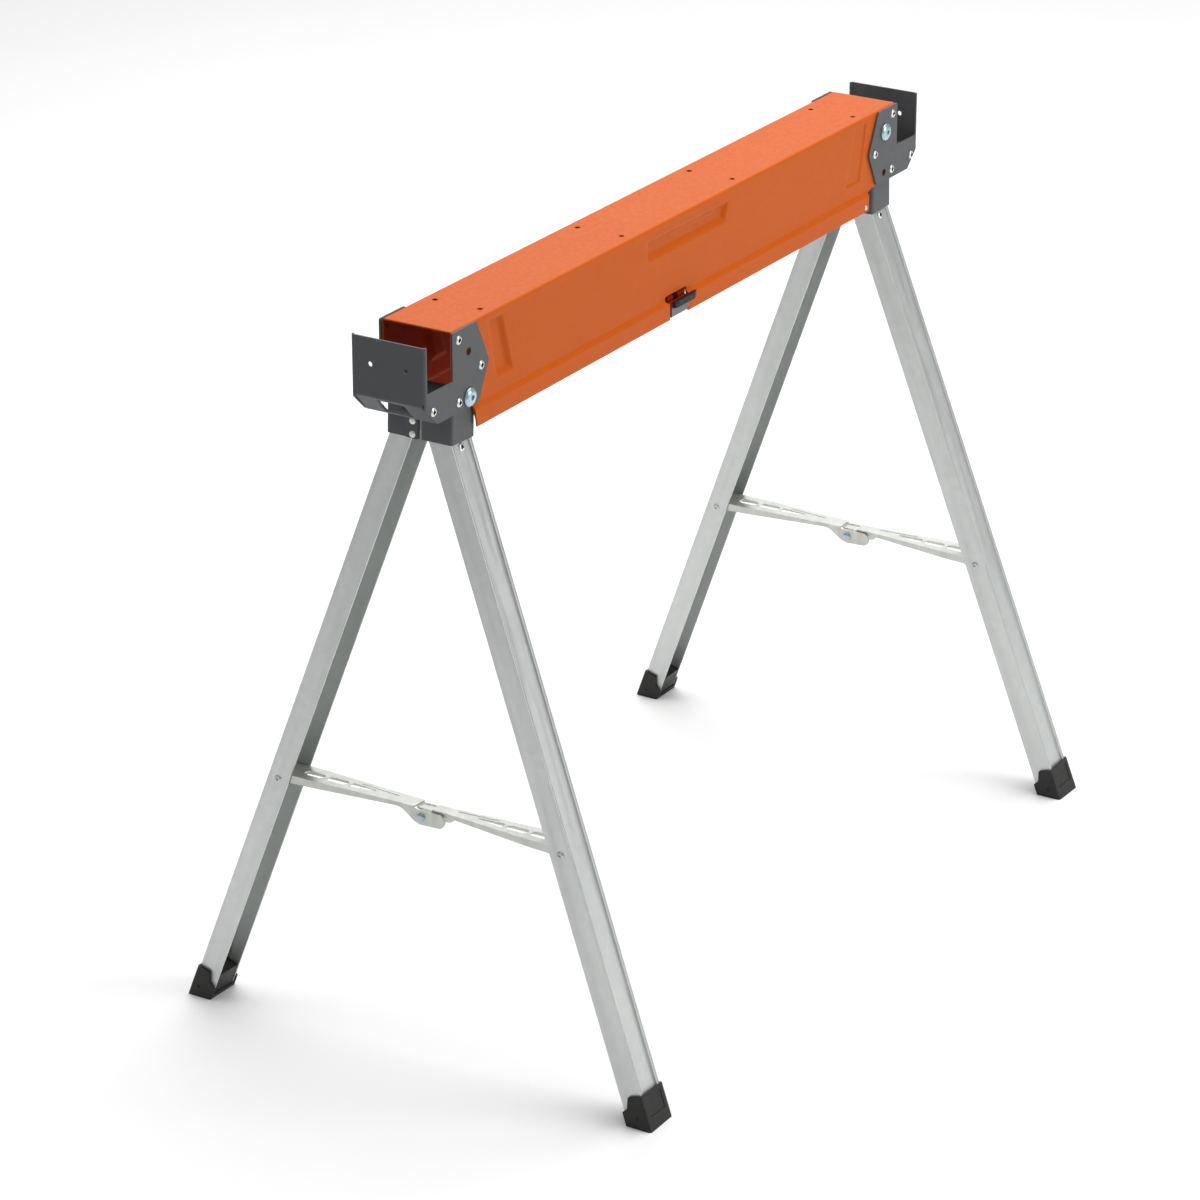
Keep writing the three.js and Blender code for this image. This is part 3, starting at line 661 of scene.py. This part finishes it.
# ---- fasteners: profiles are (radius, height) from the middle of the seat ----
BLIND_RIVET = ((0, 0), (4.6, 0), (4.75, 0.25), (4.5, 0.75), (3.9, 1.25), (3.1, 1.62), (2.6, 1.7), (2.3, 1.5),
               (2.15, 0.5), (1.3, 0.4), (1.2, 0.9), (0.6, 1.05), (0, 1.05))
FLAT_RIVET = ((0, 0), (3.6, 0), (3.75, 0.2), (3.6, 0.6), (3.1, 0.95), (1.8, 1.15), (0, 1.2))
ROUND_RIVET = ((0, 0), (4.0, 0), (4.15, 0.2), (3.9, 0.75), (3.2, 1.3), (2.6, 1.5), (2.0, 1.45), (1.7, 0.3),
               (0, 0.25))
LIP_HEAD = ((0, 0), (2.7, 0), (2.8, 0.2), (2.5, 0.7), (1.6, 1.1), (0, 1.2))
PIN_HEAD = ((0, 0), (3.9, 0), (4.0, 0.3), (3.4, 0.8), (0, 0.95))
KNUCKLE_RIVET = ((0, 0), (4.6, 0), (4.8, 0.3), (4.6, 1.0), (3.8, 1.7), (2.4, 2.1), (0, 2.2))
BOLT_HEAD = ((0, 0), (9.6, 0), (9.95, 0.4), (9.95, 1.3), (9.4, 2.3), (8.0, 3.4), (6.4, 4.1), (5.2, 4.35),
             (0, 4.35))
NUT_TURNING = ((0, -0.1), (7.6, -0.1), (7.6, 4.2), (6.6, 5.2), (5.6, 5.4), (5.4, 6.3), (0, 6.3))
FACING = {"-y": Matrix.Rotation(math.pi / 2, 4, "X"), "+y": Matrix.Rotation(-math.pi / 2, 4, "X"),
          "+x": Matrix.Rotation(math.pi / 2, 4, "Y"), "-x": Matrix.Rotation(-math.pi / 2, 4, "Y")}


def headed(profile, way, at, shank=0.0, radius=2.2):
    """A rivet head facing a way, its seat at that point, with a shank behind it."""
    head = lathe(profile, 28)
    if shank:
        body = lathe(((0, -shank), (radius, -shank), (radius, 0.4), (0, 0.4)), 16)
        add(head, body)
    return moved(head, Matrix.Translation(at) @ FACING[way])


def blind_rivet(name, way, at, body, replaces, shank, frame_at=None):
    """A blind rivet: a domed ring whose hollow middle is painted near black as its shade."""
    obj = headed(BLIND_RIVET, way, at, shank)
    rivet = piece(name, obj, body, "bright_rivet", replaces, at=frame_at, edge=0)
    # Faces near the rivet's axis take the painted shade of its hollow.
    rivet.data.materials.append(MATERIALS["dark"])
    middle = Vector(at) * MM
    axis = "xyz".index(way[1])
    for face in rivet.data.polygons:
        away = face.center - middle
        away[axis] = 0
        if away.length < 2.35 * MM:
            face.material_index = 1


def make_cheek_rivets(name, end):
    """The blind rivets of both cheeks. The first three reach through the beam's side as well."""
    for side_name, side in SIDES:
        for i, (x, z) in enumerate(CHEEK_RIVETS):
            label = f"cheek_rivet_{name}_{side_name}_{i + 1}"
            at = (end * x, side * (BRACKET["outer"] + 0.05), z)
            blind_rivet(f"{label}_head", "+y" if side > 0 else "-y", at, "beam", [label],
                        shank=4.2 if i < 3 else 3.2)


def make_lip_rivet():
    x, z = LIP_RIVET
    head = headed(LIP_HEAD, "-y", (x, -BEAM["lip"] - 0.02, z), shank=0.8, radius=1.6)
    piece("lip_rivet", head, "beam", "bright_rivet", edge=0)


def hexagon(radius, turn=0):
    """A hexagon with its first corner at that turn, in degrees."""
    turns = [math.radians(60 * i + turn) for i in range(6)]
    return [(radius * math.cos(t), radius * math.sin(t)) for t in turns]


def make_pivot(name):
    """One end's bolt, with a hexagonal socket in its round head, and its locking nut on the far side."""
    pos = Vector(JOINTS[f"{name}_stow"]["pos_m"]) / MM
    face = BRACKET["outer"] + 0.2
    tip = -2 * face - 9
    bolt = lathe(BOLT_HEAD, 48)
    cut(bolt, prism(hexagon(3.1, 15), "z", 1.6, 8))
    add(bolt, lathe(((0, tip), (3.2, tip), (3.9, tip + 0.8), (3.9, 0.5), (0, 0.5)), 32))
    moved(bolt, Matrix.Translation((pos.x, -face, pos.z)) @ FACING["-y"])
    piece(f"pivot_bolt_{name}_zinc", bolt, f"{name}_pivot", "zinc_bolt", [f"pivot_bolt_{name}"], edge=0.2)
    nut = keep(prism(hexagon(7.5), "z", 0, 6.5), lathe(NUT_TURNING, 48))
    cut(nut, rod("z", 4.05, -2, 8, 0, 0, 32))
    moved(nut, Matrix.Translation((pos.x, face, pos.z)) @ FACING["+y"])
    piece(f"pivot_nut_{name}_zinc", nut, f"{name}_pivot", "zinc_bolt", [f"pivot_nut_{name}"], edge=0.2)


# ---- frames of the folding parts ----
def end_frame(name):
    """The leaning plane of one end's legs: x lies along the leg pins, and the origin is between the two."""
    near, far = (JOINTS[f"{name}_{side}_close"] for side in ("near", "far"))
    x_axis = Vector(near["axis"])
    y_axis = Vector((0, 1, 0))
    z_axis = x_axis.cross(y_axis)
    origin = (Vector(near["pos_m"]) + Vector(far["pos_m"])) / 2
    basis = Matrix((x_axis, y_axis, z_axis)).transposed().to_4x4()
    return Matrix.Translation(origin) @ basis


def leg_frame(name, side_name, side):
    """The leg's own frame: x across its web, y outwards on the far side, z up the leg, origin on its pin."""
    close = JOINTS[f"{name}_{side_name}_close"]
    splay = math.radians(close["range_deg"][1])
    turned = end_frame(name).to_3x3() @ Matrix.Rotation(side * splay, 3, "X")
    return Matrix.Translation(Vector(close["pos_m"])) @ turned.to_4x4()


# ---- hubs: drawn on the far side, with z from the level of the mouth ----
def hub_ear(pivot):
    """The round ear on the bolt, down to where it meets the folded sheet."""
    h, steps = HUB, 20
    turns = [math.pi * (1 - i / steps) for i in range(steps + 1)]
    arc = [(pivot.x + h["ear"] * math.cos(t), pivot.z + h["ear"] * math.sin(t)) for t in turns]
    foot = [(-h["x"] + 3, h["high"] - 6), (-h["x"], h["high"] - 1), (-h["x"], pivot.z - 4)]
    return foot + arc + [(-x, z) for x, z in reversed(foot)]


def make_hub(name, side_name, side):
    """Half of a hub: a folded sheet with an ear on the bolt. The far half has the straps that join them."""
    h = HUB
    at = end_frame(name) @ Matrix.Translation((0, 0, -PIN_Z * MM))
    pivot = at.inverted() @ Vector(JOINTS[f"{name}_stow"]["pos_m"]) / MM
    inner = h["inner"][side_name]
    wall = rounded([(-h["x"], inner), (-h["x"], h["y"]), (h["x"], h["y"]), (h["x"], inner)],
                   [0, h["radius"], h["radius"], 0], 7, closed=False)
    hub = prism(sheet_outline(wall, h["sheet"]), "z", h["low"], h["high"])
    add(hub, prism(hub_ear(pivot), "y", h["y"] - h["sheet"], h["y"] - 0.02))
    if side > 0:
        (y0, y1), (z0, z1) = STRAP["y"], STRAP["z"]
        strap = rounded([(y0, z0), (y1, z0), (y1, z1), (y0, z1)], [0.5, 2.5, 2.5, 0.5], 4)
        add(hub, prism(strap, "x", h["x"] - 0.6, h["x"] + h["strap"]),
            prism(strap, "x", -h["x"] - h["strap"], -h["x"] + 0.6))
    cut(hub, rod("x", LEG_PIN["hole"], -40, 40, PIN_Y, PIN_Z, 24),
        rod("y", PIVOT_HOLE, 0, 60, pivot.x, pivot.z, 24))
    label = f"hub_{name}_{side_name}"
    piece(f"{label}_sheet", hub, f"{name}_hub", "bracket_paint", [label], at=at, flip=side < 0, edge=0.5)
    make_leg_pin(name, side_name, side, at)
    if side > 0:
        make_seam_rivets(name, at)


def make_leg_pin(name, side_name, side, at):
    end = HUB["x"] + 0.1
    pin = rod("x", LEG_PIN["radius"], -end - 0.1, end + 0.1, PIN_Y, PIN_Z, 24)
    for way, x in (("+x", end), ("-x", -end)):
        add(pin, headed(PIN_HEAD, way, (x, PIN_Y, PIN_Z)))
    label = f"leg_pin_{name}_{side_name}"
    piece(f"{label}_painted", pin, f"{name}_hub", "bracket_paint", [label], at=at, flip=side < 0, edge=0)


def make_seam_rivets(name, at):
    seat = HUB["x"] + HUB["strap"] - 0.02
    for i, (y, z) in enumerate(STRAP["rivets"]):
        for label, way, x in (("inner", "+x", seat), ("outer", "-x", -seat)):
            head = headed(FLAT_RIVET, way, (x, y, z), shank=2.5)
            piece(f"hub_seam_rivet_{name}_{label}_{i + 1}", head, f"{name}_hub", "bright_rivet", at=at,
                  edge=0)


# ---- legs ----
def leg_section():
    """The leg's channel, with a sunk band along its web and a fine crease beside each edge."""
    g = LEG
    x, web = g["x"], g["web"]
    crease, wide = x - g["crease"], g["crease_half"]
    half = [(x, web - g["depth"]), (x, web), (crease + wide, web), (crease, web - g["crease_depth"]),
            (crease - wide, web), (x - g["strip"], web), (x - g["strip"] - g["slope"], web - g["recess"])]
    path = half + [(-a, b) for a, b in reversed(half)]
    corners = [0, g["radius"] - 0.2, 0.1, 0, 0.1, 0.5, 0.5]
    radii = corners + corners[::-1]
    return sheet_outline(rounded(path, radii, 5, closed=False)[::-1], g["sheet"])


def make_leg(name, side_name, side):
    g = LEG
    at = leg_frame(name, side_name, side)
    brace = at.inverted() @ Vector(JOINTS[f"{name}_{side_name}_brace_fold"]["pos_m"]) / MM
    brace_at = (side * brace.y, brace.z)
    leg = prism(leg_section(), "z", -g["below"], g["above"])
    web, back, past = g["web"], g["web"] - g["depth"], g["above"] + 1
    cut(leg, prism([(web - 4, past), (web + 1, past), (web + 1, g["above"] - 3)], "x", -30, 30),
        prism([(back - 1, -8), (back - 1, past), (web - 13, past)], "x", -30, 30),
        rod("x", LEG_PIN["hole"], -30, 30, 0, 0, 24), rod("x", BRACE_PIN["hole"], -30, 30, *brace_at, 24),
        rod("y", RIVET_HOLE["leg"], -2, 20, 0, STOP_RIVET_Z, 16))
    label = f"leg_{name}_{side_name}"
    body = f"{name}_{side_name}_leg"
    piece(f"{label}_channel", leg, body, "galvanised_steel", [label], at=at, flip=side < 0, edge=0.3)
    rivet = f"stop_rivet_{name}_{side_name}"
    rivet_at = (0, side * (web - g["recess"] + 0.05), STOP_RIVET_Z)
    blind_rivet(f"{rivet}_head", "+y" if side > 0 else "-y", rivet_at, body, [rivet], 2.6, at)
    make_brace_pin(name, side_name, side, at, brace_at)
    make_foot(name, side_name, side, at)


def make_brace_pin(name, side_name, side, at, brace_at):
    x = LEG["x"]
    pin = rod("x", BRACE_PIN["radius"], -x - 0.2, x + 0.2, *brace_at, 24)
    for way, seat in (("+x", x + 0.05), ("-x", -x - 0.05)):
        add(pin, headed(ROUND_RIVET, way, (seat, *brace_at)))
    label = f"brace_pin_{name}_{side_name}"
    piece(f"{label}_rivet", pin, f"{name}_{side_name}_leg", "bright_rivet", [label], at=at, flip=side < 0,
          edge=0, looks="galvanised_steel")


def below_floor(at, side):
    """All that lies under the floor, in the frame of a leg that is drawn on the far side."""
    drawn_at = at.copy()
    if side < 0:
        drawn_at = Matrix.Scale(-1, 4, (0, 1, 0)) @ at @ Matrix.Scale(-1, 4, (0, 1, 0))
    drawn_at.translation /= MM
    return moved(box(-900, 900, -900, 900, -400, 0), drawn_at.inverted())


def make_foot(name, side_name, side, at):
    """A moulded cap round the leg's end, cut level with the floor."""
    f = FOOT
    x, tall = f["x"], f["tall"]
    outer = LEG["web"] + f["proud"]
    inner = outer - f["depth"]
    flank = rounded([(outer, -f["length"]), (outer, tall), (-7.0, tall + 1), (-11.8, tall - 11),
                     (inner, f["low"]), (inner, -f["length"])], [0, 1.2, 1.0, 1.2, 0.8, 0], 4)
    foot = prism(flank, "x", -x, x)
    plan = rounded([(-x, inner), (x, inner), (x, outer), (-x, outer)], [1, 1, 3, 3], 4)
    keep(foot, prism(plan, "z", -f["length"] - 5, tall + 5))
    hollow = x - f["wall"]
    cut(foot, box(-hollow, hollow, inner - 2, LEG["web"] + 0.25, -LEG["below"] - 0.3, tall + 6))
    plug_x, plug_y = LEG["x"] - LEG["sheet"] - 0.6, LEG["web"] - LEG["recess"] - LEG["sheet"] - 0.6
    add(foot, box(-plug_x, plug_x, inner + 1.4, plug_y, -LEG["below"] - 4, tall + 2))
    panel = box(-14.5, 14.5, outer - 0.7, outer + 2, tall - 25, tall - 5)
    dimples = [rod("x", 2.6, s * (x - 0.7), s * (x + 2), -1.5, tall - 22, 24) for s in (-1, 1)]
    cut(foot, panel, *dimples, below_floor(at, side))
    label = f"foot_{name}_{side_name}"
    piece(f"{label}_cap", foot, f"{name}_{side_name}_leg", "foot_plastic", [label], at=at, flip=side < 0,
          edge=0.9, segments=3, turned=True)


# ---- braces: drawn from the leg pin at the origin, with y towards the middle ----
def link_plan(narrow, length, inset):
    """The link from above, drawn in by the inset at each side."""
    start, end = LINK["taper"]
    wide, narrow = LINK["wide"] - inset, narrow - inset
    half = rounded([(wide, -10), (wide, start), (narrow, end), (narrow, length)], [0, 40, 40, 0], 8,
                   closed=False)
    return half + [(-x, y) for x, y in reversed(half)]


def link_side(reach, tail, web):
    """The link from the side: a deep flange at the leg, a shallow one along it, and a drooping ear."""
    k, drop, ear = LINK, KNUCKLE_DROP, LINK["ear"]
    top = k["top"]
    points = [(-5.5, top - 1.5), (-6.2, -3), (0, -6.2), (16, top - k["flange_leg"]),
              (reach - 26, top - k["flange_mid"]), (reach - 9, -drop - 6), (reach - 2, -drop - ear),
              (tail + 2, -drop - ear + 1), (tail + ear, -drop + 1), (tail, ear - drop), (web + 1.5, top),
              (-2, top)]
    return rounded(points, [2.5, 4, 5, 12, 18, 6, 6, 8.4, 8.4, 5, 0.4, 2], 6)


def link_slots():
    """Two long slots, one that tapers, and a thin slanted one beside it."""
    half = 5.2
    start, tip = LINK_SLOTS[2]
    outlines = [capsule((0, a + half), (0, b - half), half, 6) for a, b in LINK_SLOTS[:2]]
    outlines.append(rounded([(-half, start), (half, start), (2.0, tip), (-0.5, tip)], [3, 3, 1.2, 1.2], 5))
    outlines.append(capsule((7.4, SLIVER[0] - 14), (3.4, SLIVER[1]), 0.9, 5))
    return [prism(outline, "z", LINK["top"] - 6, LINK["top"] + 3) for outline in outlines]


def make_link(name, side_name, side):
    k = LINK
    joint = JOINTS[f"{name}_{side_name}_brace_fold"]
    at = Matrix.Translation(Vector(joint["pos_m"])) @ end_frame(name).to_3x3().to_4x4()
    reach = abs(joint["pos_m"][1]) / MM
    narrow, web, under = k["narrow"][side_name], k["web"][side_name], k["top"] - k["sheet"]
    outer = prism(link_plan(narrow, 240, 0), "z", -30, 30)
    inner = prism(link_plan(narrow, 241, k["sheet"]), "z", -31, under)
    link = keep(prism(link_side(reach, reach + k["tail"][side_name], web), "x", -30, 30), outer)
    cut(link, inner)
    open_end = box(-30, 30, web, 260, under - 1.2, k["top"] + 5)
    pin_hole = rod("x", BRACE_PIN["hole"], -30, 30, 0, 0, 24)
    knuckle_hole = rod("x", KNUCKLE["hole"], -30, 30, reach, -KNUCKLE_DROP, 20)
    cut(link, open_end, pin_hole, knuckle_hole, *link_slots())
    label = f"brace_link_{name}_{side_name}"
    body = f"{name}_{side_name}_brace"
    piece(f"{label}_pressing", link, body, "galvanised_steel", [label], at=at, flip=side > 0, edge=0.55,
          segments=3, looks="pressed_links")
    if side > 0:
        rivet = rod("x", KNUCKLE["radius"], -narrow, narrow, reach, -KNUCKLE_DROP, 20)
        for way, x in (("+x", narrow - 0.1), ("-x", -narrow + 0.1)):
            add(rivet, headed(KNUCKLE_RIVET, way, (x, reach, -KNUCKLE_DROP)))
        piece(f"knuckle_rivet_{name}", rivet, body, "bright_rivet", at=at, flip=True, edge=0,
              looks="zinc_bolt")
        return
    half, start, tip = 5.0, web - 14, reach + 9
    tongue = prism(rounded([(-half, start), (half, start), (half, tip), (-half, tip)], 1.5), "z",
                   under - 2.6, under - 1.1)
    piece(f"knuckle_tongue_{name}", tongue, body, "galvanised_steel", at=at, edge=0.2, looks="pressed_links")


# ---- latch ----
def make_catch():
    """The catch: a bent plate hung on the latch's pin, with a round barrel along the pin."""
    c = CATCH
    (left, right), low = c["x"], c["low"]
    profile = [(c["outer"], low), (c["shelf_y"], low + 3), (c["shelf_y"], c["shelf_z"]),
               (c["bend_y"], c["shelf_z"]), (c["bend_y"], c["high"]), (c["outer"], c["high"])]
    catch = prism(rounded(profile, 1.2, 4), "x", left, right)
    face = [(left, low - 1), (right, low - 1), (right, 740), (left, 740)]
    keep(catch, prism(rounded(face, [0.5, 8, 0.5, 0.5], 6), "y", -60, -10))
    y, z = (v / MM for v in JOINTS["latch_lever"]["pos_m"][1:])
    add(catch, rod("x", c["barrel"], left, right, y, z, 32))
    spring_room = box(-31, -21.3, y - 5, y + 6, 717.2, z + 5)
    cut(catch, rod("x", c["bore"], -60, 0, y, z, 24), spring_room)
    plate = piece("latch_catch_plate", catch, "latch", "latch_steel", ["latch_catch"], edge=0.4)
    # painted shade: all but the catch's front plate takes the shaded red, for the shade inside the beam where
    # its back and barrel sit.
    plate.data.materials.append(MATERIALS["painted_shade_red"])
    for face in plate.data.polygons:
        if face.center.y > (c["outer"] + 0.8) * MM or face.center.z > (PADDLE["low"] + 2) * MM:
            face.material_index = 1


def make_paddle():
    """The plastic grip on the catch's face, with a shallow groove along its top."""
    p = PADDLE
    (left, right), back, high = p["x"], CATCH["outer"] - 0.3, p["high"]
    outline = [(left, back), (left, p["outer"] + 1), (left + 6, p["outer"]), (right - 9, p["outer"]),
               (right, back - 1.5), (right, back)]
    paddle = prism(rounded(outline, [0.4, 2, 4, 6, 1, 0.4], 6), "z", p["low"], high)
    groove = capsule((left + 8, back - 2), (right - 12, back - 2), 1.0, 6)
    cut(paddle, prism(groove, "z", high - 0.5, high + 3))
    piece("latch_paddle_grip", paddle, "latch", "latch_plastic", ["latch_paddle"], edge=0.9, segments=4)


def dress_cad_nodes():
    """The small inner pieces keep their CAD shape, with soft edges; the latch's pin, guide and spring are
    painted near black as the shade inside the notch, and the pivot sleeves take the grey paint.
    """
    # painted shade: the latch's pieces are near black for the shade they sit in
    inner = {"latch_guide": "dark", "latch_pin": "dark", "latch_spring": "dark",
             "pivot_sleeve_left": "bracket_paint", "pivot_sleeve_right": "bracket_paint"}
    for node, looks in inner.items():
        obj = frame["nodes"][node]
        obj.data.materials.clear()
        obj.data.materials.append(MATERIALS[looks])
        edges = obj.modifiers.new("edges", "BEVEL")
        edges.width = 0.15 * MM
        edges.segments = 2
        edges.limit_method = "ANGLE"
        edges.angle_limit = math.radians(40)


# ---- setting, in metres and degrees ----
WORLD_LIGHT = 0.29
CAMERA = {"place": (-4.0563, -2.4334, 2.3462), "azimuth": -58.316, "elevation": 22.865, "lens": 139.2}


def soft_box(name, place, target, size, power):
    """A square light at a place, turned to its target."""
    light = bpy.data.lights.new(name, "AREA")
    light.size = size
    light.energy = power
    lamp = bpy.data.objects.new(name, light)
    bpy.context.scene.collection.objects.link(lamp)
    lamp.location = place
    lamp.rotation_euler = (Vector(target) - Vector(place)).to_track_quat("-Z", "Y").to_euler()


def make_stage():
    bpy.ops.mesh.primitive_plane_add(size=60)
    floor = bpy.context.object
    floor.name = "floor"
    looks = Looks("pale_floor", (246, 246, 246), 0.85)
    looks.tint(looks.noise(2, 3), (243, 243, 243), 0.5)
    floor.data.materials.append(looks.material)

    world = bpy.data.worlds.new("studio")
    bpy.context.scene.world = world
    world.use_nodes = True
    background = world.node_tree.nodes["Background"]
    background.inputs["Color"].default_value = (1, 1, 1, 1)
    background.inputs["Strength"].default_value = WORLD_LIGHT
    soft_box("overhead", place=(1.2, 0.2, 4.4), target=(0.6, 0, 0), size=4.5, power=240)
    soft_box("front", place=(1.2, -4.4, 2.4), target=(0, 0, 0.4), size=2.6, power=92)
    soft_box("beyond", place=(5.5, 3.2, 3.6), target=(0, 0, 0.6), size=3.0, power=42)


def make_camera():
    data = bpy.data.cameras.new("camera")
    data.sensor_width = 36
    data.lens = CAMERA["lens"]
    camera = bpy.data.objects.new("camera", data)
    bpy.context.scene.collection.objects.link(camera)
    azimuth, elevation = math.radians(CAMERA["azimuth"]), math.radians(CAMERA["elevation"])
    level = math.cos(elevation)
    back = Vector((math.sin(azimuth) * level, -math.cos(azimuth) * level, math.sin(elevation)))
    camera.location = CAMERA["place"]
    camera.rotation_euler = (-back).to_track_quat("-Z", "Y").to_euler()
    data.clip_end = 200
    bpy.context.scene.camera = camera
    bpy.context.scene.view_settings.view_transform = "Standard"


make_stage()
make_camera()
make_beam()
make_lip_rivet()
for end_name, end_sign in ENDS:
    make_bracket(end_name, end_sign)
    make_cheek_rivets(end_name, end_sign)
    make_pivot(end_name)
    for side_label, side_sign in SIDES:
        make_hub(end_name, side_label, side_sign)
        make_leg(end_name, side_label, side_sign)
        make_link(end_name, side_label, side_sign)
make_catch()
make_paddle()
dress_cad_nodes()
